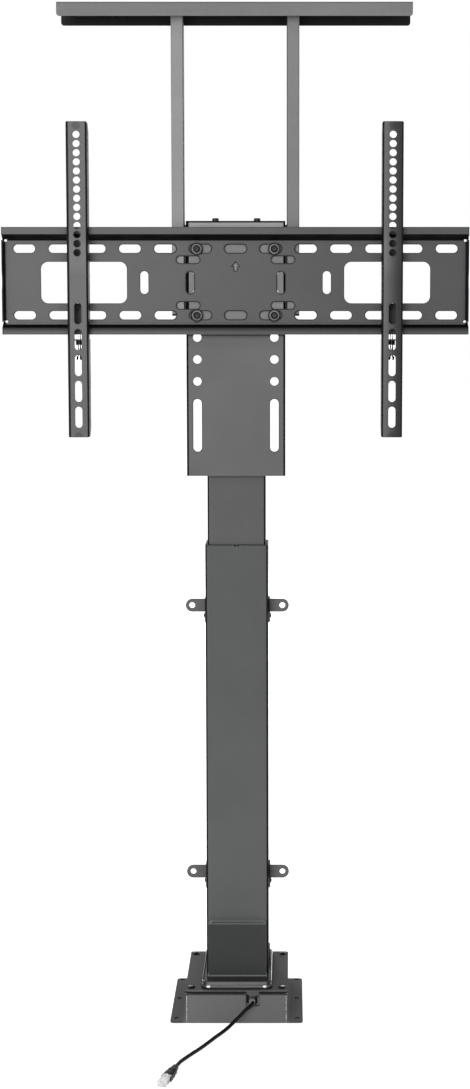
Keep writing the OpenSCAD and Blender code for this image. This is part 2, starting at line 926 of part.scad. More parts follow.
// Lead inside the base, from the motor down to the gland
module motor_lead() {
    color("#141414")
        swept_cord(lead_route, cable_d, 8);
}

// Strain relief: a block behind the front wall and a short nose through its cut-out
module cable_gland() {
    wall = base_front + sheet_t;
    block_low = gland_z - gland_d / 2 - 3.4;
    nose_end = base_front - nose_l;
    color("#6f7172")
        union() {
            facing_front(wall, wall + block_t)
                translate([gland_x, (block_low + top_under) / 2])
                    round_rect(gland_w + 5, top_under - block_low - 0.2, 2);
            translate([gland_x, wall, gland_z])
                rotate([90, 0, 0])
                    cylinder(d = gland_d, h = wall - nose_end);
            translate([gland_x, nose_end, gland_z])
                rotate([90, 0, 0])
                    cylinder(d1 = gland_d, d2 = gland_d - 1.6, h = nose_end - route[0][1]);
        }
}

module cable() {
    color("#101010")
        swept_cord(route, cable_d, 10);
}

// Boot of the plug: a round tail, a body that widens, and two fingers along the plug
module plug_boot() {
    tail = route[len(route) - 1];
    tail_l = 7;
    finger_l = 7;
    color("#131313")
        translate([tail[0], tail[1], plug_z])
            rotate([0, 90, plug_dir]) {
                cylinder(r = cable_d / 2 + 1.1, h = tail_l + 1, $fn = 24);
                hull() {
                    translate([0, 0, tail_l])
                        cylinder(r = cable_d / 2 + 1.6, h = 1, $fn = 24);
                    translate([0, 0, boot_l - 10])
                        linear_extrude(10)
                            round_rect(plug_h + 0.6, plug_w + 3, 2);
                }
                for (s = [-1, 1])
                    translate([-plug_h / 2 + 0.6, s * (plug_w / 2 + 0.9) - 0.7, boot_l - 1])
                        cube([plug_h - 1.2, 1.4, finger_l + 1]);
            }
}

// Clear modular plug with its latch and contact slots
module modular_plug() {
    tail = route[len(route) - 1];
    color("#c9cdd0")
        translate([tail[0], tail[1], plug_z])
            rotate([0, 0, plug_dir])
                translate([boot_l, 0, 0]) {
                    difference() {
                        translate([0, -plug_w / 2, -plug_h / 2 + 0.4])
                            cube([plug_l, plug_w, plug_h - 0.8]);
                        for (k = [-3.5 : 1 : 3.5])
                            translate([plug_l - 6, k * 1.02 - 0.25, plug_h / 2 - 2])
                                cube([5, 0.5, 3]);
                    }
                    translate([plug_l - 3, 0, plug_h / 2 - 0.3])
                        rotate([0, -14, 180])
                            translate([0, -3, -1.2])
                                cube([14, 6, 1.2]);
                }
}

// Lifting spindle with its journals and thrust collar
module spindle() {
    color("#a2a4a6") {
        translate([0, 0, gear_z + gear_h - 13])
            cylinder(d = journal_d - 2, h = 14);
        translate([0, 0, bearing_plate_z + 0.5])
            cylinder(d = journal_d, h = thrust_z - bearing_plate_z);
        translate([0, 0, thrust_z])
            cylinder(d = spindle_d + 4, h = thrust_t);
        translate([0, 0, thrust_z + thrust_t / 2])
            cylinder(d = spindle_d, h = spindle_top - thrust_z - thrust_t / 2 - 1);
        translate([0, 0, spindle_top - 1.001])
            cylinder(d1 = spindle_d, d2 = spindle_d - 2, h = 1.001);
    }
}

module spindle_nut() {
    color("#d8d2bd")
        translate([0, 0, nut_z])
            difference() {
                union() {
                    cylinder(d = spindle_d + 14, h = nut_h);
                    linear_extrude(8)
                        round_rect(spindle_d + 26, spindle_d + 20, 4);
                }
                translate([0, 0, -1])
                    cylinder(d = spindle_d + 2 * run_gap, h = nut_h + 2);
            }
}

module nut_carrier() {
    color("#6a6c6e")
        translate([0, 0, inner_bottom])
            difference() {
                linear_extrude(carrier_t)
                    round_rect(inner_w - 2 * inner_t - 2 * fit_gap, inner_d - 2 * inner_t - 2 * fit_gap, inner_r - inner_t);
                translate([0, 0, -1])
                    cylinder(d = spindle_d + 2, h = carrier_t + 2);
            }
}

module inner_tube() {
    color("#4a4a4a")
        translate([0, 0, inner_bottom])
            tube_rect(inner_w, inner_d, inner_r, inner_t, inner_top - inner_bottom);
}

// Glide pads on the four sides of the inner tube
module inner_glides() {
    color("#1a1a1a")
        translate([0, 0, inner_bottom + 2])
            for (s = [-1, 1]) {
                translate([-inner_w * 0.36, s > 0 ? inner_d / 2 : -inner_d / 2 - pad_gap_y + slide_gap, 0])
                    cube([inner_w * 0.72, pad_gap_y - slide_gap, pad_h]);
                translate([s > 0 ? inner_w / 2 : -inner_w / 2 - pad_gap_x + slide_gap, -inner_d * 0.34, 0])
                    cube([pad_gap_x - slide_gap, inner_d * 0.68, pad_h]);
            }
}

// End plate in the top of the inner tube, with threaded holes
module top_cap() {
    color("#5a5c5e")
        translate([0, 0, inner_top - cap_t])
            difference() {
                linear_extrude(cap_t)
                    round_rect(inner_w - 2 * inner_t - 2 * fit_gap, inner_d - 2 * inner_t - 2 * fit_gap, inner_r - inner_t);
                for (s = [-1, 1])
                    translate([s * cap_screw_gap / 2, 0, -1])
                        cylinder(d = cap_screw_d + 0.2, h = cap_t + 2);
            }
}

// Mounting bracket that hangs in front of the column from its top flange
module head_plate() {
    low = head_top - head_h;
    color("#515151")
        difference() {
            union() {
                translate([0, head_front, low])
                    linear_extrude(head_h)
                        channel_2d(head_w, head_side, head_t, head_t + bend_in);
                translate([-head_x + 5, head_back - eps, inner_top])
                    cube([head_w - 10, inner_d / 2 - head_back, head_t]);
            }
            round_front_edge(head_w + 2, head_front, head_top, head_t + bend_in);
            for (s = [-1, 1]) {
                for (i = [0 : hole_n - 1])
                    translate([s * hole_gap_x / 2, head_back + 1, hole_low_z + i * hole_pitch])
                        rotate([90, 0, 0])
                            cylinder(d = hole_d, h = head_t + 2);
                facing_front(head_front - 1, head_back + 1)
                    translate([s * hole_gap_x / 2, slot_low_z + slot_len / 2])
                        rotate(90)
                            slot_2d(slot_len, hole_d);
                translate([s * cap_screw_gap / 2, 0, inner_top - 1])
                    cylinder(d = cap_screw_d + 0.6, h = head_t + 2);
                for (z = post_screw_z)
                    translate([s * (head_x + 1), post_y, z])
                        rotate([0, -s * 90, 0])
                            cylinder(d = post_screw_d + 0.6, h = head_t + 2);
            }
        }
}

module head_screws() {
    color("#1c1c1c")
        for (s = [-1, 1])
            translate([s * cap_screw_gap / 2, 0, head_top])
                socket_screw(cap_screw_d, cap_screw_d + 4, cap_screw_d, head_t + cap_t + 4);
}

// Slotted wall plate with a folded lip along its top and bottom
module wall_plate() {
    mid_y = (web_back + web_front) / 2;
    lip_y = (lip_back + lip_front) / 2;
    inset = lip_h - plate_t / 2 + plate_t / 2;
    top_fold = plate_top - inset;
    low_fold = plate_low + inset;
    profile = [
        [lip_y, plate_low], [lip_y, low_fold], [mid_y, low_fold + bend_h],
        [mid_y, top_fold - bend_h], [lip_y, top_fold], [lip_y, plate_top]
    ];
    end_h = top_fold - low_fold - 2 * bend_h - 2;
    color("#474747")
        difference() {
            union() {
                rotate([90, 0, 90])
                    translate([0, 0, -plate_w / 2])
                        linear_extrude(plate_w)
                            folded(profile, plate_t);
                for (s = [-1, 1])
                    plate_end(s, end_h);
            }
            facing_front(web_front - 1, web_back + 1)
                plate_holes();
            for (s = [-1, 1], z = [top_fold - bend_h - 1, low_fold + bend_h + 1])
                translate([s * (plate_w / 2 - 4.5), web_back + 1, z])
                    rotate([90, 0, 0])
                        cylinder(d = 4, h = plate_t + 2);
        }
}

// Short return at each end of the wall plate, with a shallow grip notch
module plate_end(s, h) {
    x0 = s > 0 ? plate_w / 2 - plate_t : -plate_w / 2;
    notch = 36;
    difference() {
        translate([x0, lip_front, plate_z - h / 2])
            cube([plate_t, lip_out + plate_t, h]);
        translate([x0 - 1, lip_front - notch + 3, plate_z])
            rotate([0, 90, 0])
                cylinder(r = notch, h = plate_t + 2, $fn = 96);
    }
}

module plate_holes() {
    for (k = [-row_n : row_n], z = row_z)
        translate([k * row_pitch, z])
            slot_2d(row_len, row_slot_w);
    for (s = [-1, 1]) {
        translate([s * window_x, plate_z - 2])
            round_rect(window_w, window_h, window_r);
        translate([s * upright_far, plate_z - 2])
            rotate(90)
                slot_2d(upright_len, upright_w);
        translate([s * upright_near, plate_z - 2])
            rotate(90)
                slot_2d(upright_len - 1, upright_w);
        for (t = [-1, 1])
            translate([s * short_x, plate_z - 2 + t * short_gap / 2])
                slot_2d(short_len, short_w);
    }
    translate([0, plate_z + 14.5]) {
        translate([-1.9, 0])
            square([3.8, 7]);
        polygon([[-4.8, 6.4], [4.8, 6.4], [0, 12]]);
    }
}

// Places children at the four bolts, facing the front
module at_bolts(y) {
    for (s = [-1, 1], i = bolt_rows)
        translate([s * hole_gap_x / 2, y, hole_low_z + i * hole_pitch])
            rotate([90, 0, 0])
                children();
}

module plate_bolts() {
    color("#1b1b1b")
        at_bolts(web_front - washer_t)
            socket_screw(bolt_d, bolt_head_d, bolt_head_h, washer_t + plate_t + head_t + nut_t + 1.5);
}

module plate_washers() {
    color("#222222")
        at_bolts(web_front)
            difference() {
                cylinder(d = washer_d, h = washer_t);
                translate([0, 0, -1])
                    cylinder(d = bolt_d + 0.6, h = washer_t + 2);
            }
}

// Flanged nuts behind the head plate
module plate_nuts() {
    color("#8d8f91")
        at_bolts(head_back + nut_t)
            difference() {
                union() {
                    cylinder(d = bolt_d * 1.6, h = nut_t, $fn = 6);
                    translate([0, 0, nut_t - 1.5])
                        cylinder(d = hole_d + 4, h = 1.5);
                }
                translate([0, 0, -1])
                    cylinder(d = bolt_d + 0.2, h = nut_t + 2);
            }
}

// Square post with screw holes in its inner wall
module post(s) {
    low = post_low_z + plug_h_post;
    translate([s * post_x, post_y, low])
        difference() {
            tube_rect(post_w, post_w, 2, post_t, post_top - low);
            for (z = post_screw_z)
                translate([-s * (post_w / 2 + 1), 0, z - low])
                    rotate([0, s * 90, 0])
                        cylinder(d = post_screw_d + 0.6, h = post_t + 2);
        }
}

module post_left() {
    color("#6a6a6a")
        post(-1);
}

module post_right() {
    color("#606060")
        post(1);
}

// Plastic plugs in the lower ends of the posts
module post_plugs() {
    inside = post_w - 2 * post_t - 2 * fit_gap;
    color("#111111")
        for (s = [-1, 1])
            translate([s * post_x, post_y, post_low_z]) {
                linear_extrude(plug_h_post)
                    round_rect(post_w, post_w, 2);
                linear_extrude(plug_h_post + 10)
                    round_rect(inside, inside, 0.8);
            }
}

// Threaded blocks in the upper ends of the posts
module post_inserts() {
    inside = post_w - 2 * post_t - 2 * fit_gap;
    color("#8d8f91")
        for (s = [-1, 1])
            translate([s * post_x, post_y, post_top - insert_h])
                difference() {
                    linear_extrude(insert_h)
                        round_rect(inside, inside, 0.8);
                    translate([0, 0, 4])
                        cylinder(d = post_screw_d + 0.2, h = insert_h);
                }
}

// Plastic strips between the head plate and the posts
module post_spacers() {
    low = post_low_z + plug_h_post;
    top = plate_top + spacer_over;
    color("#141414")
        for (s = [-1, 1])
            translate([s * (head_x + post_gap / 2), post_y, 0])
                difference() {
                    translate([0, 0, (low + top) / 2])
                        cube([post_gap, post_w - 1, top - low], center = true);
                    for (z = post_screw_z)
                        translate([-post_gap, 0, z])
                            rotate([0, 90, 0])
                                cylinder(d = post_screw_d + 0.6, h = 2 * post_gap);
                }
}

module post_screws() {
    color("#1c1c1c")
        for (s = [-1, 1], z = post_screw_z)
            translate([s * (head_x - head_t), post_y, z])
                rotate([0, -s * 90, 0])
                    socket_screw(post_screw_d, post_screw_d + 4, 4, head_t + post_gap + post_t + 6);
}

// Tray that carries the lid of the cabinet, open downwards
module lid_tray() {
    color("#565656")
        difference() {
            union() {
                translate([-tray_w / 2, post_y - tray_d / 2, post_top])
                    cube([tray_w, tray_d, tray_t]);
                tray_lip_plate(post_y - tray_d / 2, tray_lip);
                tray_lip_plate(post_y + tray_d / 2 - tray_t, tray_back);
            }
            round_front_edge(tray_w + 2, post_y - tray_d / 2, tray_z, tray_t + bend_in);
            translate([0, 2 * post_y, 0])
                mirror([0, 1, 0])
                    round_front_edge(tray_w + 2, post_y - tray_d / 2, tray_z, tray_t + bend_in);
            for (s = [-1, 1])
                translate([s * post_x, post_y, post_top - 0.001])
                    cylinder(d1 = post_screw_d + 0.4, d2 = post_screw_d + 0.4 + 2 * tray_t, h = tray_t + 0.002);
        }
}

module tray_lip_plate(y, h) {
    facing_front(y, y + tray_t) {
        translate([-tray_w / 2, tray_z - h + tray_r])
            square([tray_w, h - tray_r]);
        translate([-tray_w / 2 + tray_r, tray_z - h])
            square([tray_w - 2 * tray_r, h]);
        for (s = [-1, 1])
            translate([s * (tray_w / 2 - tray_r), tray_z - h + tray_r])
                circle(tray_r);
    }
}

module tray_screws() {
    color("#1c1c1c")
        for (s = [-1, 1])
            translate([s * post_x, post_y, post_top]) {
                cylinder(d1 = post_screw_d, d2 = post_screw_d + 2 * tray_t - 0.2, h = tray_t - 0.2);
                translate([0, 0, -insert_h + 6])
                    cylinder(d = post_screw_d, h = insert_h - 6 + eps);
            }
}

// Hook arm: a channel that hangs on the top lip and rests against the bottom lip
module arm(s) {
    clear_front = lip_front - 0.6;
    hook_y = lip_back + 0.6;
    top_seat = plate_top + arm_rest_gap;
    low_seat = plate_low - 6;
    bend_top = plate_top - lip_h - bend_h - 3;
    bend_low = plate_low + lip_h + bend_h + 3;
    side = [
        [arm_front - 1, arm_low_z - 1], [arm_front - 1, arm_top_z + 1], [arm_front + 10, arm_top_z + 1],
        [arm_back, arm_top_z - 14], [arm_back, plate_top - 6.5], [hook_y, plate_top - 6.5],
        [hook_y, top_seat], [clear_front, top_seat], [clear_front, bend_top],
        [arm_back, bend_top], [arm_back, bend_low], [clear_front, bend_low],
        [clear_front, low_seat], [arm_back, low_seat], [arm_back, arm_low_z + 14],
        [arm_front + 10, arm_low_z - 1]
    ];
    color("#505050")
        translate([s * arm_x, 0, 0])
            difference() {
                intersection() {
                    translate([0, arm_front, arm_low_z - 1])
                        linear_extrude(arm_h + 2)
                            channel_2d(arm_w, arm_back - arm_front, arm_t, arm_t + bend_in);
                    translate([-arm_w, 0, 0])
                        rotate([90, 0, 90])
                            linear_extrude(2 * arm_w)
                                polygon(side);
                    facing_front(arm_front - 2, arm_back + 2)
                        translate([0, arm_top_z - arm_h / 2])
                            round_rect(arm_w + 1, arm_h, 3);
                }
                for (i = [0 : arm_hole_n - 1])
                    translate([0, arm_front + arm_t + 1, arm_hole_z - i * arm_pitch])
                        rotate([90, 0, 0])
                            cylinder(d = arm_hole_d, h = arm_t + 2);
                facing_front(arm_front - 1, arm_front + arm_t + 1)
                    for (i = [0 : arm_slot_n - 1])
                        translate([0, arm_slot_z + i * arm_slot_pitch])
                            rotate(90)
                                slot_2d(arm_slot_len, arm_hole_d);
            }
}

module arm_left() {
    arm(-1);
}

module arm_right() {
    arm(1);
}

// Threaded cross plate for the lock screw, between the walls of the arm
module lock_bracket(s) {
    inside = arm_w - 2 * arm_t - 2 * fit_gap;
    deep = arm_back - arm_front - arm_t - 1;
    color("#161616")
        translate([s * arm_x, 0, lock_z])
            difference() {
                union() {
                    translate([-inside / 2, arm_front + arm_t, 0])
                        cube([inside, deep, lock_t]);
                    translate([0, lock_y, -6])
                        cylinder(d = lock_d + 5, h = 6 + lock_t);
                }
                translate([0, lock_y, -7])
                    cylinder(d = lock_d + 2 * run_gap, h = lock_t + 9);
            }
}

module lock_bracket_left() {
    lock_bracket(-1);
}

module lock_bracket_right() {
    lock_bracket(1);
}

// Lock screw whose tip presses up against the bottom lip of the wall plate
module lock_screw(s) {
    tip = plate_low - arm_rest_gap;
    color("#b4b6b8")
        translate([s * arm_x, lock_y, tip - lock_len])
            difference() {
                union() {
                    cylinder(d = lock_d, h = lock_len);
                    translate([0, 0, -5])
                        cylinder(d = lock_d + 4, h = 5.001);
                }
                translate([0, 0, -6])
                    cylinder(d = lock_d * 0.8, h = 4, $fn = 6);
            }
}

module lock_screw_left() {
    lock_screw(-1);
}

module lock_screw_right() {
    lock_screw(1);
}

base_box();
base_floor();
base_top();
top_screws();
collar();
drive_cover_front();
drive_cover_rear();
outer_tube();
rim_glide();
ear_upper_left();
ear_upper_right();
ear_lower_left();
ear_lower_right();
ear_screws();
motor_plate();
drive_motor();
gearbox();
bearing_plate();
thrust_bearing();
motor_lead();
cable_gland();
cable();
plug_boot();
modular_plug();
spindle();
spindle_nut();
nut_carrier();
inner_tube();
inner_glides();
top_cap();
head_plate();
head_screws();
wall_plate();
plate_bolts();
plate_washers();
plate_nuts();
post_left();
post_right();
post_plugs();
post_inserts();
post_spacers();
post_screws();
lid_tray();
tray_screws();
arm_left();
arm_right();
lock_bracket_left();
lock_bracket_right();
lock_screw_left();
lock_screw_right();
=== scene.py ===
import bmesh
import bpy
import math
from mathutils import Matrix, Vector


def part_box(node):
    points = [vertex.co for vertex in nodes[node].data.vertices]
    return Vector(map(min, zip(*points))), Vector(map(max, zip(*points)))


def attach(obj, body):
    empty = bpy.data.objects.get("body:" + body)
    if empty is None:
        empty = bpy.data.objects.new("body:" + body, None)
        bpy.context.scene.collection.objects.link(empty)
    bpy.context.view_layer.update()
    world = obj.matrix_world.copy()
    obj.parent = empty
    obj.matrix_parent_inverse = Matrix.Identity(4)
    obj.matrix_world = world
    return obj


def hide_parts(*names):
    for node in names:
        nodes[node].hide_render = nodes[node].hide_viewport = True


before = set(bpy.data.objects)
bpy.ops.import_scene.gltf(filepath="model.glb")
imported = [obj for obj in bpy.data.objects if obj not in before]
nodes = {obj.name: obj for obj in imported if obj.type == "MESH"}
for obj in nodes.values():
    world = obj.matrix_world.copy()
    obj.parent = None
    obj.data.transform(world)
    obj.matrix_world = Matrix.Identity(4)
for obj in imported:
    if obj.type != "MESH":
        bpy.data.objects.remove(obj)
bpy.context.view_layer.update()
scene = bpy.context.scene
scene.view_settings.view_transform = "Standard"

# Camera at the photograph's place, for a frame of 470 by 1089 pixels
FRAME_W, FRAME_H = 470.0, 1089.0
FOCAL_PX = 1580.0
CENTRE_X, CENTRE_Y = 289.6, 464.35
CAMERA_PLACE = (0.07608, -2.2761, 0.97487)
CAMERA_TILT = 4.5
SENSOR = 36.0


def link(name, data):
    obj = bpy.data.objects.new(name, data)
    scene.collection.objects.link(obj)
    return obj


cam_data = bpy.data.cameras.new("camera")
cam = link("camera", cam_data)
cam.location = CAMERA_PLACE
cam.rotation_euler = (math.radians(90.0 - CAMERA_TILT), 0.0, 0.0)
cam_data.sensor_width = SENSOR
cam_data.lens = FOCAL_PX / FRAME_H * SENSOR
cam_data.shift_x = (FRAME_W / 2.0 - CENTRE_X) / FRAME_H
cam_data.shift_y = (CENTRE_Y - FRAME_H / 2.0) / FRAME_H
cam_data.clip_end = 100.0
scene.camera = cam


class Graph:
    """One node tree, with helpers that add nodes and return their outputs."""

    def __init__(self, tree):
        self.nt = tree

    def new(self, kind, **props):
        nd = self.nt.nodes.new(kind)
        for key, val in props.items():
            setattr(nd, key, val)
        return nd

    def put(self, socket, val):
        if isinstance(val, bpy.types.NodeSocket):
            self.nt.links.new(val, socket)
        else:
            socket.default_value = val

    def math(self, op, a, b=None):
        nd = self.new("ShaderNodeMath", operation=op)
        self.put(nd.inputs[0], a)
        if b is not None:
            self.put(nd.inputs[1], b)
        return nd.outputs[0]

    def sub(self, a, b):
        return self.math("SUBTRACT", a, b)

    def mul(self, *vals):
        out = vals[0]
        for val in vals[1:]:
            out = self.math("MULTIPLY", out, val)
        return out

    def fade(self, val, a, b, lo=0.0, hi=1.0):
        """lo below a, hi above b, smooth between."""
        nd = self.new("ShaderNodeMapRange", interpolation_type="SMOOTHSTEP")
        for key, x in (("From Min", a), ("From Max", b), ("To Min", lo), ("To Max", hi)):
            nd.inputs[key].default_value = x
        self.put(nd.inputs["Value"], val)
        return nd.outputs["Result"]

    def below(self, val, a, b):
        """1 below a, 0 above b, smooth between."""
        return self.fade(val, a, b, 1.0, 0.0)

    def patch(self, k, *parts):
        """k where every part is 1, 1 where any of them is 0."""
        nd = self.new("ShaderNodeMapRange")
        nd.inputs["To Min"].default_value = 1.0
        nd.inputs["To Max"].default_value = k
        self.put(nd.inputs["Value"], self.mul(*parts))
        return nd.outputs["Result"]

    def band(self, val, a, b, soft, k):
        """k between a and b, 1 elsewhere."""
        start = self.fade(val, a - soft, a + soft)
        return self.patch(k, start, self.below(val, b - soft, b + soft))

    def near(self, val, centre):
        """Distance from a value."""
        return self.math("ABSOLUTE", self.sub(val, centre))

    def away(self, a, b):
        """Distance from a point, from its two offsets."""
        return self.math("SQRT", self.math("ADD", self.mul(a, a), self.mul(b, b)))

    def every(self, val, pitch, first=0.0):
        """Offset from the nearest of a row of middles."""
        shifted = self.math("ADD", self.sub(val, first), pitch / 2.0)
        return self.sub(self.math("FLOORED_MODULO", shifted, pitch), pitch / 2.0)

    def slot(self, dx, dz, length, width, radius=None):
        """Distance outside the outline of a slot or a rounded window, from its middle."""
        r = width / 2.0 if radius is None else radius
        out = []
        for d, full in ((dx, length), (dz, width)):
            over = self.sub(self.math("ABSOLUTE", d), full / 2.0 - r)
            out.append(self.math("MAXIMUM", over, 0.0))
        return self.sub(self.away(*out), r)

    def ring(self, dist, k=0.4, wide=1.5):
        """Painted shade: darker line round a hole, from the distance outside its outline."""
        return self.patch(k, self.below(dist, 0.4 * wide, wide))


class Finish(Graph):
    """Material whose painted light and shade follow the place in mm and the direction of the
    surface.
    """

    def __init__(self, name):
        self.mat = bpy.data.materials.new(name)
        self.mat.use_nodes = True
        super().__init__(self.mat.node_tree)
        self.bsdf = self.nt.nodes["Principled BSDF"]
        self.co = self.new("ShaderNodeTexCoord")
        mm = self.new("ShaderNodeVectorMath", operation="SCALE")
        self.put(mm.inputs[0], self.co.outputs["Object"])
        mm.inputs["Scale"].default_value = 1000.0
        place = self.new("ShaderNodeSeparateXYZ")
        self.put(place.inputs[0], mm.outputs[0])
        turn = self.new("ShaderNodeSeparateXYZ")
        self.put(turn.inputs[0], self.co.outputs["Normal"])
        self.x, self.y, self.z = place.outputs
        self.nx, self.ny, self.nz = turn.outputs
        self.ax = self.math("ABSOLUTE", self.x)
        self.anx = self.math("ABSOLUTE", self.nx)

    def noise(self, scale, detail=3.0, rough=0.5, stretch=(1, 1, 1)):
        mp = self.new("ShaderNodeMapping")
        mp.inputs["Scale"].default_value = stretch
        nz = self.new("ShaderNodeTexNoise")
        nz.inputs["Scale"].default_value = scale
        nz.inputs["Detail"].default_value = detail
        nz.inputs["Roughness"].default_value = rough
        self.put(mp.inputs["Vector"], self.co.outputs["Object"])
        self.put(nz.inputs["Vector"], mp.outputs["Vector"])
        return nz.outputs["Fac"]

    def colour(self, v, tint, var, grain, shade):
        """Base colour: slow clouds, fine grain and the painted light and shade of the place."""
        slow = self.noise(9.0, 4.0, 0.55)
        fine = self.noise(grain, 2.0, 0.6)
        level = self.mul(self.fade(slow, 0.3, 0.7, v * (1 - var), v * (1 + var)),
                         self.fade(fine, 0.35, 0.65, 0.9, 1.09), *shade)
        rgb = self.new("ShaderNodeCombineColor")
        for k in range(3):
            self.put(rgb.inputs[k], self.mul(level, tint[k]))
        self.put(self.bsdf.inputs["Base Color"], rgb.outputs[0])
        return slow, fine

    def surface(self, cloud, grain, rough, spec, depth):
        """Roughness between two values, with the clouds, and a bump with the grain."""
        self.put(self.bsdf.inputs["Roughness"], self.fade(cloud, 0.3, 0.7, *rough))
        self.bsdf.inputs["Specular IOR Level"].default_value = spec
        bp = self.new("ShaderNodeBump")
        bp.inputs["Strength"].default_value = 0.3
        bp.inputs["Distance"].default_value = depth
        self.put(bp.inputs["Height"], grain)
        self.put(self.bsdf.inputs["Normal"], bp.outputs["Normal"])

    def front(self):
        """1 on what faces the front."""
        return self.below(self.ny, -0.9, -0.6)

    def outward(self):
        """1 on what faces away from the middle, -1 on what faces it."""
        return self.mul(self.nx, self.math("SIGN", self.x))

    def side_lines(self, half, wide, k):
        """Painted shade: dark line along both upright edges of the front and rear face."""
        flat = self.fade(self.math("ABSOLUTE", self.ny), 0.3, 0.5)
        return self.patch(k, self.fade(self.ax, half - wide - 0.3, half - wide + 0.3), flat)

    def corners(self, line=0.07, side=0.3, under=0.12, top=1.0):
        """Painted shade of a folded sheet: dark along its bends, dim on its sides and underneath,
        its top lighter or darker by the given factor.
        """
        bends = self.patch(line, self.fade(self.anx, 0.42, 0.62),
                           self.below(self.anx, 0.985, 0.999))
        sides = self.patch(side, self.fade(self.anx, 0.97, 0.999))
        return [bends, sides, self.fade(self.nz, -0.7, -0.25, under, 1.0),
                self.fade(self.nz, 0.25, 0.7, 1.0, top)]


WHITE = (1.0, 1.0, 1.0)


def paint(name, v, shade=None, tint=WHITE, rough=(0.5, 0.62), spec=0.1, **corners):
    """Fine powder coat, with the painted shade of a folded sheet."""
    f = Finish(name)
    extra = f.corners(**corners)
    if shade:
        extra += shade(f)
    slow, fine = f.colour(v, tint, 0.06, 1500.0, extra)
    f.surface(slow, fine, rough, spec, 0.00006)
    return f.mat


def plastic(name, v, shade=None, tint=WHITE, rough=(0.4, 0.5), spec=0.15,
            grain=900.0, depth=0.00004):
    """Moulded plastic, or a blackened screw."""
    f = Finish(name)
    slow, fine = f.colour(v, tint, 0.06, grain, shade(f) if shade else [])
    f.surface(slow, fine, rough, spec, depth)
    return f.mat


def metal(name, v, tint, rough=(0.25, 0.4)):
    """Bare or zinc plated steel, whose shine varies with its grain."""
    f = Finish(name)
    fine = f.colour(v, tint, 0.08, 300.0, [])[1]
    f.surface(fine, fine, rough, 0.5, 0.00004)
    f.bsdf.inputs["Metallic"].default_value = 1.0
    return f.mat


def clear(name):
    """Clear plastic, a little milky."""
    f = Finish(name)
    slow, fine = f.colour(0.97, (0.995, 1.0, 1.005), 0.02, 300.0, [])
    f.surface(slow, fine, (0.08, 0.16), 0.5, 0.00001)
    f.bsdf.inputs["Transmission Weight"].default_value = 0.6
    f.bsdf.inputs["IOR"].default_value = 1.12
    return f.mat


# Places on the wall plate and head plate, in mm
PLATE_TOP, PLATE_LOW, PLATE_HALF = 1132.5, 982.5, 327.5
ROW_PITCH, ROW_Z, ROW_HALF = 49.5, 1056.3, 46.6
MID_Z = 1055.5
BOLT_X, BOLT_Z, BOLT_HALF = 54.5, 1055.9, 46.5
ARROW_Z, ARROW_TIP, ARROW_HEAD = 1072.0, 12.0, 6.4
SHAFT_HALF_W, SHAFT_HALF_H = 1.9, 3.5
HEAD_HOLE_D, HEAD_HOLE_Z, HEAD_PITCH = 12.3, 916.4, 31.0
HEAD_SLOT_Z, HEAD_SLOT_L = 854.0, 75.0
HEAD_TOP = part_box("head_plate")[1][2] * 1000.0

# Openings in the wall plate, in mm: distance from the middle, then length, width and corner radius
ROW_SLOT = (31.0, 11.7)
WINDOW_X, WINDOW = 213.5, (121.0, 57.5, 10.0)
FAR_X, FAR_SLOT = 128.5, (32.0, 11.4)
CLOSE_X, CLOSE_SLOT = 64.0, (31.0, 11.4)
SHORT_X, SHORT_HALF, SHORT_SLOT = 66.8, 32.0, (32.5, 9.8)

# Places on the arms, tubes and covers, in mm
ARM_X, ARM_PITCH, ARM_HOLE_Z, ARM_HOLE_D = 219.5, 12.5, 1258.5, 10.0
ARM_SLOT_PITCH, ARM_SLOT_Z, ARM_SLOT_L = 36.2, 866.8, 29.5
COLUMN_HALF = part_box("outer_tube")[1][0] * 1000.0
INNER_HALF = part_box("inner_tube")[1][0] * 1000.0
COVER_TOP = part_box("drive_cover_front")[1][2] * 1000.0

# Places on the base, in mm, with length, width and corner radius of the collar and the whole base
FOOT_HOLE_X, FOOT_MID_Y, FOOT_HOLE_HALF = 86.85, -2.5, 68.5
PAN_X, PAN_MID_Y, PAN_HALF = 65.5, -3.75, 62.75
OUTLET_X, OUTLET_Z, OUTLET_W = 23.4, 34.5, 19.0
GLAND_X, GLAND_Z = 22.4, 32.8
BASE_MID_Y = -6.5
COLLAR = (102.5, 134.5, 9.0)
COVERED = (188.0, 153.0, 5.0)


def bolt_distance(f):
    """Distance from the middle of the nearest bolt of the wall plate."""
    return f.away(f.sub(f.ax, BOLT_X), f.sub(f.near(f.z, BOLT_Z), BOLT_HALF))


def pan_distance(f):
    """Distance from the middle of the nearest pan head screw."""
    return f.away(f.sub(f.ax, PAN_X), f.sub(f.near(f.y, PAN_MID_Y), PAN_HALF))


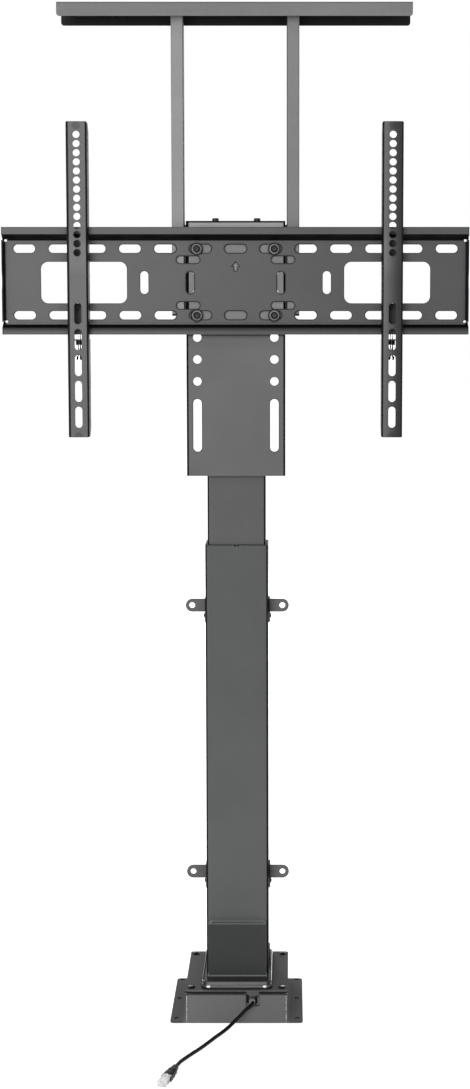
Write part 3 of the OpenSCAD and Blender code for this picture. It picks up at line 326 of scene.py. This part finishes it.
def plate_shade(f):
    """Painted shade: lines round the openings and washers, dark joggles, ends and top edge, less
    light to the right, and painted light and shade on the lower lip.
    """
    dz = f.sub(f.z, MID_Z)
    row = f.slot(f.every(f.x, ROW_PITCH), f.sub(f.near(f.z, ROW_Z), ROW_HALF), *ROW_SLOT)
    window = f.slot(f.sub(f.ax, WINDOW_X), dz, *WINDOW)
    far = f.slot(dz, f.sub(f.ax, FAR_X), *FAR_SLOT)
    close = f.slot(dz, f.sub(f.ax, CLOSE_X), *CLOSE_SLOT)
    short = f.slot(f.sub(f.ax, SHORT_X), f.sub(f.near(f.z, MID_Z), SHORT_HALF), *SHORT_SLOT)
    middle = f.patch(0.3, f.below(row, 0.5, 2.0), f.below(f.ax, 108.0, 109.0))
    up = f.sub(f.z, ARROW_Z)
    slope = f.math("ADD", f.mul(f.ax, 0.76), f.mul(f.sub(up, ARROW_TIP), 0.65))
    tip = f.math("MAXIMUM", slope, f.sub(ARROW_HEAD, up))
    tall = f.sub(f.near(up, SHAFT_HALF_H), SHAFT_HALF_H)
    shaft = f.math("MAXIMUM", f.sub(f.ax, SHAFT_HALF_W), tall)
    arrow = f.math("MINIMUM", tip, shaft)
    lines = [f.ring(row, 0.5), middle, f.ring(window, 0.5), f.ring(far, 0.5),
             f.ring(close, 0.3, 2.0), f.ring(short, 0.25, 2.0), f.ring(arrow, 0.2, 1.6)]
    joggle_top = f.band(f.z, PLATE_TOP - 18.5, PLATE_TOP - 10.8, 0.5, 0.0)
    joggle_low = f.band(f.z, PLATE_LOW + 8.9, PLATE_LOW + 14.2, 0.5, 0.0)
    lip = f.mul(f.below(f.z, PLATE_LOW + 11.0, PLATE_LOW + 12.0),
                f.fade(f.z, PLATE_LOW + 2.5, PLATE_LOW + 9.2, 0.82, 0.2))
    rest = f.mul(f.fade(f.z, PLATE_LOW + 11.0, PLATE_LOW + 12.0),
                 f.fade(f.z, PLATE_LOW + 15.0, PLATE_LOW + 19.0, 1.35, 0.95))
    edge = f.fade(f.z, PLATE_TOP - 1.6, PLATE_TOP - 0.4, 1.0, 0.7)
    across = f.fade(f.x, -330.0, 330.0, 1.06, 0.68)
    washers = f.patch(0.5, f.below(bolt_distance(f), 8.6, 9.8))
    ends = f.patch(0.03, f.fade(f.z, PLATE_LOW + 10.0, PLATE_LOW + 11.0),
                   f.below(f.z, PLATE_TOP - 19.0, PLATE_TOP - 18.0),
                   f.fade(f.ax, PLATE_HALF - 4.5, PLATE_HALF - 3.7))
    tips = f.fade(f.ax, PLATE_HALF - 1.3, PLATE_HALF - 0.7, 1.0, 0.1)
    levels = f.math("ADD", lip, rest)
    return lines + [joggle_top, joggle_low, levels, edge, across, washers, ends, tips]


def head_shade(f):
    """Painted light and shade: lines round the holes, light strip above the wall plate, dark sides
    and gap, a shadow line under the wall plate, lighter behind it and behind the arrow.
    """
    dx = f.sub(f.ax, BOLT_X)
    hole = f.slot(dx, f.every(f.z, HEAD_PITCH, HEAD_HOLE_Z), HEAD_HOLE_D, HEAD_HOLE_D)
    long_slot = f.slot(f.sub(f.z, HEAD_SLOT_Z), dx, HEAD_SLOT_L, HEAD_HOLE_D)
    holes = f.patch(0.62, f.below(hole, 0.5, 1.2), f.fade(f.z, 895.0, 896.0),
                    f.below(f.z, PLATE_LOW, PLATE_LOW + 1.0))
    behind = f.fade(f.z, PLATE_LOW + 1.0, PLATE_LOW + 3.0, 1.0, 1.5)
    strip = f.mul(f.fade(f.z, PLATE_TOP - 3.0, PLATE_TOP - 1.0, 1.0, 1.68),
                  f.fade(f.z, HEAD_TOP - 3.1, HEAD_TOP - 2.5, 1.0, 0.2))
    edges = f.mul(f.fade(f.x, -67.4, -66.8, 0.03, 1.0), f.fade(f.x, 66.9, 67.5, 1.0, 0.03))
    gap = f.patch(0.07, f.below(f.x, -66.0, -65.4), f.fade(f.z, PLATE_LOW, PLATE_LOW + 1.0))
    contact = f.band(f.z, PLATE_LOW - 1.7, PLATE_LOW + 1.0, 0.6, 0.4)
    arrow = f.patch(1.35, f.below(f.ax, 8.0, 9.0), f.below(f.near(f.z, ARROW_Z + 5.0), 9.0, 10.0))
    return [holes, f.ring(long_slot), behind, strip, contact, edges, gap, arrow]


def arm_shade(f):
    """Painted shade: lines round the holes and slots, dark edges but for the outer sides, right arm
    dimmer; painted light over the plate, a little less low down.
    """
    dx = f.sub(f.ax, ARM_X)
    hole = f.slot(dx, f.every(f.z, ARM_PITCH, ARM_HOLE_Z), ARM_HOLE_D, ARM_HOLE_D)
    slot = f.slot(f.every(f.z, ARM_SLOT_PITCH, ARM_SLOT_Z), dx, ARM_SLOT_L, ARM_HOLE_D)
    holes = f.patch(0.7, f.below(hole, 0.3, 1.0), f.fade(f.z, 1088.0, 1089.0))
    slots = f.patch(0.7, f.below(slot, 0.3, 1.0), f.below(f.z, 1030.0, 1031.0))
    turned = f.sub(1.0, f.fade(f.outward(), 0.9, 0.97))
    edges = f.mul(f.patch(0.03, f.fade(f.math("ABSOLUTE", dx), 11.8, 12.6), turned),
                  f.patch(0.05, f.below(f.x, -231.2, -230.0), turned))
    right = f.fade(f.x, 203.0, 231.0, 1.2, 0.25)
    over_plate = f.band(f.z, 1070.0, 1114.0, 10.0, 1.17)
    return [holes, edges, slots, right, over_plate, f.fade(f.z, 940.0, 1000.0, 0.93, 1.0)]


def post_shade(f):
    """Painted shade: dark line along the inner edge and on the inner sides, and a little less light
    on the right post.
    """
    inner = f.fade(f.outward(), -0.97, -0.9, 0.24, 1.0)
    return [f.fade(f.ax, 72.7, 73.5, 0.12, 1.0), f.fade(f.x, -60.0, 60.0, 1.15, 0.84), inner]


def column_shade(f):
    """Painted shade: dark edges, and a little less light higher up."""
    return [f.side_lines(COLUMN_HALF, 1.6, 0.05), f.fade(f.z, 100.0, 650.0, 1.0, 0.87)]


def inner_shade(f):
    """Painted shade along the edges."""
    return [f.side_lines(INNER_HALF, 2.2, 0.05)]


def tray_shade(f):
    """Painted shade: dark inside and a darker line along the top; fine lines along the tray."""
    inside = f.patch(0.06, f.fade(f.y, -50.5, -49.8), f.below(f.nz, 0.1, 0.3),
                     f.below(f.ny, 0.1, 0.3))
    grain = f.noise(260.0, 2.0, 0.5, (0.05, 1, 1))
    return [inside, f.fade(f.z, 1438.6, 1439.6, 1.0, 0.72), f.fade(grain, 0.3, 0.7, 0.97, 1.03)]


def base_shade(f):
    """Painted shade: dark holes and gaps, dark crease lines, dim feet, less light to the right; a
    painted highlight in dashes at the corners of the box.
    """
    front = f.front()
    # Painted highlight along the front corners of the box, broken into dashes, with a painted dark
    # line beside it.
    highlight_breaks = f.fade(f.noise(1.0, 2.0, 0.6, (1, 1, 420)), 0.42, 0.55)
    corner_highlight = f.patch(4.0, front, f.fade(f.ax, 70.2, 70.6), f.below(f.ax, 71.3, 71.7), highlight_breaks)
    crease_shade = f.patch(0.5, front, f.fade(f.ax, 69.0, 69.5), f.below(f.ax, 70.0, 70.3))
    gap = f.patch(0.15, front, f.fade(f.z, 40.9, 41.6))
    outlet = f.slot(f.sub(f.x, OUTLET_X), f.sub(f.z, OUTLET_Z), OUTLET_W, OUTLET_W, 3.0)
    inner = f.patch(0.06, f.fade(f.y, -83.4, -82.8), f.below(f.y, -78.0, -76.0),
                    f.below(outlet, 0.5, 1.0))
    dx = f.sub(f.ax, FOOT_HOLE_X)
    end_hole = f.away(dx, f.sub(f.near(f.y, FOOT_MID_Y), FOOT_HOLE_HALF))
    mid_hole = f.away(dx, f.sub(f.y, FOOT_MID_Y))
    holes = [f.patch(0.35, f.below(dist, 3.0, 3.8)) for dist in (end_hole, mid_hole)]
    foot_edge = f.patch(0.72, f.fade(f.ax, 72.0, 73.0), f.fade(f.z, 1.5, 1.9))
    across = f.mul(f.fade(f.x, -60.0, 60.0, 1.0, 0.88), f.fade(f.x, -80.0, -72.0, 0.5, 1.0),
                   f.fade(f.x, 72.0, 80.0, 1.0, 0.71))
    return [corner_highlight, crease_shade, gap, inner, foot_edge, f.ring(outlet, 0.7), across] + holes


def top_shade(f):
    """Painted light and shade: dark front edge beside the tongue, a dim tongue, dark round screws
    and collar, light strip at the front.
    """
    beside = f.near(f.x, OUTLET_X)
    front_edge = f.patch(0.08, f.front(), f.fade(beside, 9.0, 9.3))
    screws = f.patch(0.12, f.below(pan_distance(f), 5.0, 6.6))
    collar = f.patch(0.6, f.below(f.slot(f.x, f.sub(f.y, BASE_MID_Y), *COLLAR), 0.0, 2.0))
    strip = f.fade(f.y, -84.0, -76.0, 4.4, 1.0)
    tongue = f.patch(0.36, f.below(beside, 9.3, 10.3), f.below(f.y, -82.0, -80.0))
    return [front_edge, screws, collar, strip, tongue]


def screw_shade(f):
    """Painted highlight in the middle of each pan head, weaker on the left and at the rear."""
    centre = f.patch(85.0, f.below(pan_distance(f), 1.6, 3.2), f.fade(f.nz, 0.4, 0.6))
    return [centre, f.fade(f.x, -60.0, 60.0, 0.5, 1.0), f.fade(f.y, -20.0, 20.0, 1.0, 0.3)]


def washer_shade(f):
    """Painted light: grey face inside a black rim."""
    return [f.patch(26.0, f.below(bolt_distance(f), 6.5, 7.1), f.front())]


def bolt_shade(f):
    """Painted light and shade: grey disc with a darker middle inside a black rim."""
    r = bolt_distance(f)
    front = f.front()
    return [f.patch(17.0, f.below(r, 2.2, 2.7), front), f.patch(0.3, f.below(r, 1.0, 1.5), front)]


def cover_shade(f):
    """Painted light and shade: light lip at the foot, light top, light line under the top edge,
    dark line at the top, dim sides.
    """
    lip = f.patch(5.0, f.below(f.z, 53.3, 53.8), f.fade(f.z, 52.2, 52.6))
    upper = f.patch(5.0, f.fade(f.nz, 0.3, 0.7), f.fade(f.z, COVER_TOP - 8.0, COVER_TOP - 7.0))
    rim = f.patch(0.2, f.front(), f.fade(f.z, COVER_TOP - 1.2, COVER_TOP - 0.9))
    line = f.band(f.z, COVER_TOP - 2.6, COVER_TOP - 1.3, 0.3, 3.6)
    return [lip, f.fade(f.anx, 0.5, 0.8, 1.0, 0.6), upper, line, rim]


def gland_shade(f):
    """Painted shade of the notch: black beside a grey middle, darker at the top; the lower end and
    the sides grey as the wall.
    """
    dx = f.sub(f.x, GLAND_X)
    r = f.away(dx, f.sub(f.z, GLAND_Z))
    middle = f.mul(f.below(f.math("ABSOLUTE", dx), 4.0, 4.6), f.fade(r, 4.0, 5.0, 1.0, 0.5))
    low = f.mul(f.below(f.z, 28.4, 28.9), f.fade(f.y, -85.6, -84.9))
    side = f.fade(f.near(f.x, 22.0), 8.0, 8.3)
    wall = f.mul(f.math("MAXIMUM", low, side), 0.7)
    return [f.math("MAXIMUM", middle, wall), f.fade(f.z, 35.6, 37.0, 1.0, 0.6)]


def collar_shade(f):
    """Painted highlights and shade: two light lines along the bead, a light spot near each corner,
    a lighter band above, dark corners, foot and sides.
    """
    upper = f.band(f.z, 53.3, 54.8, 0.4, 3.5)
    lower = f.band(f.z, 48.4, 50.4, 0.5, 4.0)
    foot = f.fade(f.z, 46.8, 47.6, 0.3, 1.0)
    spot = f.away(f.mul(f.sub(f.ax, 40.3), 0.7), f.sub(f.z, 49.3))
    spots = f.patch(14.0, f.below(f.ny, -0.5, -0.2), f.below(spot, 0.6, 2.2))
    above = f.fade(f.z, 54.8, 55.5, 1.0, 1.5)
    corner = f.patch(0.3, f.fade(f.ax, 42.5, 45.5), f.below(f.y, -50.0, -38.0))
    return [upper, lower, foot, spots, above, corner, f.fade(f.anx, 0.5, 0.9, 1.0, 0.4)]


# Cable along the route of the source, in metres
ROUTE_MM = [
    (23.4, -87, 31.5), (23.4, -89, 31.5), (22.6, -92.6, 31.2), (20.4, -96, 30.2),
    (17.2, -98.2, 28.6), (13.6, -99.4, 26), (10, -100.3, 22.7), (6.3, -101.4, 19.1),
    (2.4, -102.9, 15.5), (-1.7, -105, 12.1), (-6, -107.9, 8.9), (-10.4, -111.6, 6.2),
    (-14.8, -116.1, 4.2), (-19, -121.4, 3), (-23, -127.4, 2.6), (-26.8, -133.8, 2.5),
    (-30.5, -140.5, 2.5), (-34.2, -147.4, 2.5), (-37.9, -154.4, 2.5), (-41.7, -161.3, 2.5),
    (-45.6, -168, 2.5), (-49.6, -174.6, 2.5), (-53.7, -181, 2.5), (-57.8, -187.3, 2.5),
    (-61.8, -193.8, 2.5), (-65.5, -200.6, 2.7), (-68.9, -207.7, 3.2), (-71.8, -215.2, 3.9),
    (-74.2, -223.1, 4.4), (-76, -229, 4.5),
]
CABLE_D = 0.005
ROUTE = [Vector(p) / 1000.0 for p in ROUTE_MM]
ROUTE_END = ROUTE[-1]
PLUG_DIR = (ROUTE_END - ROUTE[-2]).to_2d().normalized()


def boot_shade(f):
    """Painted highlight on the rib across the boot."""
    end_x, end_y = ROUTE_MM[-1][:2]
    along = f.math("ADD", f.mul(f.sub(f.x, end_x), PLUG_DIR.x),
                   f.mul(f.sub(f.y, end_y), PLUG_DIR.y))
    return [f.band(along, 12.2, 14.8, 0.4, 4.0)]


COLUMN = paint("column_paint", 0.108, column_shade, tint=(0.985, 1.01, 1.0), spec=0.02)
EAR = paint("ear_paint", 0.115)
INNER = paint("inner_paint", 0.105, inner_shade, spec=0.02)
BASE = paint("base_paint", 0.134, base_shade, side=0.8, top=1.5)
TOP = paint("base_top_paint", 0.049, top_shade, top=1.6)
HEAD = paint("head_paint", 0.126, head_shade, spec=0.02, top=0.1)
PLATE = paint("plate_paint", 0.114, plate_shade)
ARM = paint("arm_paint", 0.106, arm_shade)
POST = paint("post_paint", 0.208, post_shade, rough=(0.42, 0.52), line=0.6, side=0.6)
TRAY = paint("tray_paint", 0.162, tray_shade)
COVER = paint("cover_plastic", 0.043, cover_shade, tint=(0.96, 1.02, 0.985), rough=(0.55, 0.65),
              line=0.3, side=1.0)
GLOSS = plastic("gloss_black", 0.03, collar_shade, rough=(0.14, 0.2), spec=0.3, depth=0.00001)
BLACK = plastic("black_plastic", 0.008)
SCREW = plastic("black_screw", 0.008, rough=(0.3, 0.4), spec=0.2, depth=0.00002)
PAN = plastic("pan_screw", 0.012, screw_shade, rough=(0.3, 0.4), spec=0.2, depth=0.00002)
BOLT = plastic("socket_bolt", 0.006, bolt_shade, rough=(0.3, 0.4), spec=0.1, depth=0.00002)
WASHER = plastic("washer_black", 0.008, washer_shade, rough=(0.35, 0.45), spec=0.1, depth=0.00002)
JACKET = plastic("cable_jacket", 0.004, spec=0.06, grain=1600.0)
BOOT = plastic("boot_rubber", 0.009, boot_shade, rough=(0.45, 0.6))
GLAND = plastic("gland_plastic", 0.16, gland_shade, tint=(0.98, 1.0, 1.02))
NUT = plastic("nut_plastic", 0.6, tint=(1.0, 0.96, 0.8), spec=0.4)
MOTOR = paint("motor_paint", 0.03)
ZINC = metal("zinc_steel", 0.55, (0.97, 0.99, 1.0))
BRIGHT = metal("zinc_screw", 0.75, (1.0, 0.99, 0.96), rough=(0.15, 0.25))
CLEAR = clear("clear_plastic")

LOOK = {
    BASE: ["base_box", "base_floor"],
    TOP: ["base_top"],
    COLUMN: ["outer_tube"],
    EAR: ["ear_upper_left", "ear_upper_right", "ear_lower_left", "ear_lower_right"],
    INNER: ["inner_tube"],
    HEAD: ["head_plate"],
    PLATE: ["wall_plate"],
    ARM: ["arm_left", "arm_right"],
    POST: ["post_left", "post_right"],
    TRAY: ["lid_tray"],
    COVER: ["drive_cover_front", "drive_cover_rear"],
    GLOSS: ["collar"],
    # The post spacers are black strips between the head plate and the posts, which also stand in
    # for the shade in the gap there.
    BLACK: ["rim_glide", "inner_glides", "post_plugs", "post_spacers"],
    SCREW: ["ear_screws", "head_screws", "post_screws", "tray_screws",
            "lock_bracket_left", "lock_bracket_right"],
    PAN: ["top_screws"],
    BOLT: ["plate_bolts"],
    WASHER: ["plate_washers"],
    JACKET: ["motor_lead", "cable"],
    BOOT: ["plug_boot"],
    GLAND: ["cable_gland"],
    NUT: ["spindle_nut"],
    MOTOR: ["drive_motor"],
    ZINC: ["motor_plate", "gearbox", "bearing_plate", "thrust_bearing", "spindle",
           "nut_carrier", "top_cap", "plate_nuts", "post_inserts"],
    BRIGHT: ["lock_screw_left", "lock_screw_right"],
    CLEAR: ["modular_plug"],
}
for mat, names in LOOK.items():
    for name in names:
        materials = nodes[name].data.materials
        materials.clear()
        materials.append(mat)


def smooth_path(pts, steps=6):
    """Points of a smooth curve through all the given ones."""
    out = []
    n = len(pts)
    for i in range(n - 1):
        p0, p1, p2, p3 = pts[max(i - 1, 0)], pts[i], pts[i + 1], pts[min(i + 2, n - 1)]
        for k in range(steps):
            t = k / steps
            out.append(0.5 * ((2 * p1) + (p2 - p0) * t + (2 * p0 - 5 * p1 + 4 * p2 - p3) * t * t
                              + (3 * p1 - p0 - 3 * p2 + p3) * t ** 3))
    out.append(pts[-1].copy())
    return out


path = smooth_path(ROUTE)
curve = bpy.data.curves.new("cable_run", "CURVE")
curve.dimensions = "3D"
curve.bevel_depth = CABLE_D / 2.0
curve.bevel_resolution = 6
curve.use_fill_caps = True
spline = curve.splines.new("POLY")
spline.points.add(len(path) - 1)
for point, co in zip(spline.points, path):
    point.co = (*co, 1.0)
spline.use_smooth = True
cable = link("cable_run", curve)
curve.materials.append(JACKET)
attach(cable, "base")
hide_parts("cable")

# Moulded boot on the cable's end, with a rib across and two fingers along the plug, in metres.
# Each section has its place along the boot, half its width and half its height
BOOT_L, FINGER_L, FINGER_OFFSET = 0.0315, 0.007, 0.0066
BOOT_SECTIONS = [
    (0.0, 0.0033, 0.0031), (0.0008, 0.0038, 0.0034), (0.0095, 0.005, 0.0037),
    (0.0115, 0.0053, 0.0038), (0.0122, 0.006, 0.0042), (0.0142, 0.0063, 0.0043),
    (0.0149, 0.0058, 0.0039), (0.022, 0.0072, 0.0043), (0.0302, 0.00735, 0.0043),
    (BOOT_L, 0.0069, 0.0039),
]
FINGER_SECTIONS = [
    (BOOT_L - 0.002, 0.0007, 0.0033), (BOOT_L + FINGER_L - 0.001, 0.0007, 0.0031),
    (BOOT_L + FINGER_L, 0.0004, 0.0027),
]
BOOT_SIDES = 28


def boot_point(along, across, up):
    """Place from the distances along the boot, across it and above its middle."""
    x = ROUTE_END.x + PLUG_DIR.x * along - PLUG_DIR.y * across
    y = ROUTE_END.y + PLUG_DIR.y * along + PLUG_DIR.x * across
    return x, y, ROUTE_END.z + up


def boot_section(bm, along, half_w, half_h, offset=0.0, power=0.5):
    """Ring of a rounded rectangle, square to the boot."""
    out = []
    for k in range(BOOT_SIDES):
        a = 2.0 * math.pi * k / BOOT_SIDES
        c, s = math.cos(a), math.sin(a)
        across = offset + math.copysign(abs(c) ** power, c) * half_w
        up = math.copysign(abs(s) ** power, s) * half_h
        out.append(bm.verts.new(boot_point(along, across, up)))
    return out


def loft(bm, rings):
    """Skin over the rings, closed at both ends."""
    for a, b in zip(rings, rings[1:]):
        for k in range(BOOT_SIDES):
            n = (k + 1) % BOOT_SIDES
            bm.faces.new((a[k], a[n], b[n], b[k]))
    bm.faces.new(rings[0][::-1])
    bm.faces.new(rings[-1])


bm = bmesh.new()
loft(bm, [boot_section(bm, *section) for section in BOOT_SECTIONS])
for side in (-1, 1):
    loft(bm, [boot_section(bm, *section, offset=side * FINGER_OFFSET, power=0.35)
              for section in FINGER_SECTIONS])
bmesh.ops.recalc_face_normals(bm, faces=bm.faces[:])
boot_mesh = bpy.data.meshes.new("boot_shell")
bm.to_mesh(boot_mesh)
bm.free()
boot_mesh.materials.append(BOOT)
for poly in boot_mesh.polygons:
    poly.use_smooth = len(poly.vertices) == 4
boot = link("boot_shell", boot_mesh)
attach(boot, "base")
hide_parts("plug_boot")


def seen(g):
    """1 for rays from the camera, or by way of gloss or clear plastic, and the light path."""
    rays = g.new("ShaderNodeLightPath")
    both = g.math("MAXIMUM", rays.outputs["Is Camera Ray"], rays.outputs["Is Glossy Ray"])
    return g.math("MAXIMUM", both, rays.outputs["Is Transmission Ray"]), rays


def floor_paint():
    """Pale floor, a soft grey near the stand and dark where the base covers it."""
    f = Finish("floor_pale")
    f.bsdf.inputs["Base Color"].default_value = (0.8, 0.8, 0.8, 1)
    f.bsdf.inputs["Roughness"].default_value = 0.9
    f.bsdf.inputs["Specular IOR Level"].default_value = 0.1
    covered = f.slot(f.x, f.sub(f.y, BASE_MID_Y), *COVERED)
    pale, rays = seen(f)
    grey = f.fade(f.away(f.x, f.y), 250.0, 1000.0, 0.7, 1.0)
    level = f.math("MAXIMUM", grey, rays.outputs["Is Transmission Ray"])
    glow = f.new("ShaderNodeEmission")
    f.put(glow.inputs["Strength"], f.mul(pale, level, f.fade(covered, -0.5, 0.0)))
    both = f.new("ShaderNodeAddShader")
    f.put(both.inputs[0], f.bsdf.outputs["BSDF"])
    f.put(both.inputs[1], glow.outputs["Emission"])
    f.put(f.nt.nodes["Material Output"].inputs["Surface"], both.outputs["Shader"])
    return f.mat


# Floor, just under the feet, in metres
FLOOR_HALF, FLOOR_Z = 30.0, -0.0003
floor_mesh = bpy.data.meshes.new("floor")
floor_corners = [(x * FLOOR_HALF, y * FLOOR_HALF, FLOOR_Z)
                 for x, y in ((-1, -1), (1, -1), (1, 1), (-1, 1))]
floor_mesh.from_pydata(floor_corners, [], [(0, 1, 2, 3)])
floor = link("floor", floor_mesh)
floor_mesh.materials.append(floor_paint())

# Pale surroundings that darken overhead
WORLD_LIGHT = 0.3
OVERHEAD_SHINE = 0.12
world = bpy.data.worlds.new("studio")
scene.world = world
world.use_nodes = True
g = Graph(world.node_tree)
sky = g.new("ShaderNodeSeparateXYZ")
g.put(sky.inputs[0], g.new("ShaderNodeTexCoord").outputs["Generated"])
overhead = g.fade(sky.outputs["Z"], 0.25, 0.7, 1.0, OVERHEAD_SHINE)
pale, rays = seen(g)
shine = g.fade(pale, 0.0, 1.0, WORLD_LIGHT, 1.0)
glow = g.math("MAXIMUM", g.mul(overhead, shine), rays.outputs["Is Camera Ray"])
background = g.nt.nodes["Background"]
g.put(background.inputs["Strength"], glow)
background.inputs["Color"].default_value = (1, 1, 1, 1)


def area(name, loc, target, size, power):
    """Soft light that looks at its target."""
    light = bpy.data.lights.new(name, "AREA")
    light.shape = "RECTANGLE"
    light.size, light.size_y = size
    light.energy = power
    lamp = link(name, light)
    lamp.location = loc
    lamp.rotation_mode = "QUATERNION"
    lamp.rotation_quaternion = (Vector(target) - Vector(loc)).to_track_quat("-Z", "Y")


area("key", (-1.5, -4.4, 1.7), (0, 0, 0.75), (2.0, 2.6), 128.0)
area("fill", (2.2, -3.8, 1.0), (0, 0, 0.7), (1.4, 2.4), 30.0)
area("front", (0.1, -4.2, 2.9), (0, 0, 0.5), (2.4, 0.5), 26.0)
area("overhead", (0.0, -1.6, 3.4), (0, 0, 0.2), (1.6, 0.8), 14.0)
area("rim", (-1.8, 3.4, 2.0), (0, 0, 0.8), (2.0, 2.4), 70.0)
area("back_fill", (2.0, 3.8, 1.1), (0, 0, 0.7), (2.0, 2.4), 70.0)
for side in (-1, 1):
    area("side", (side * 4.4, 0.9, 1.2), (0, 0, 0.7), (2.2, 2.6), 80.0)
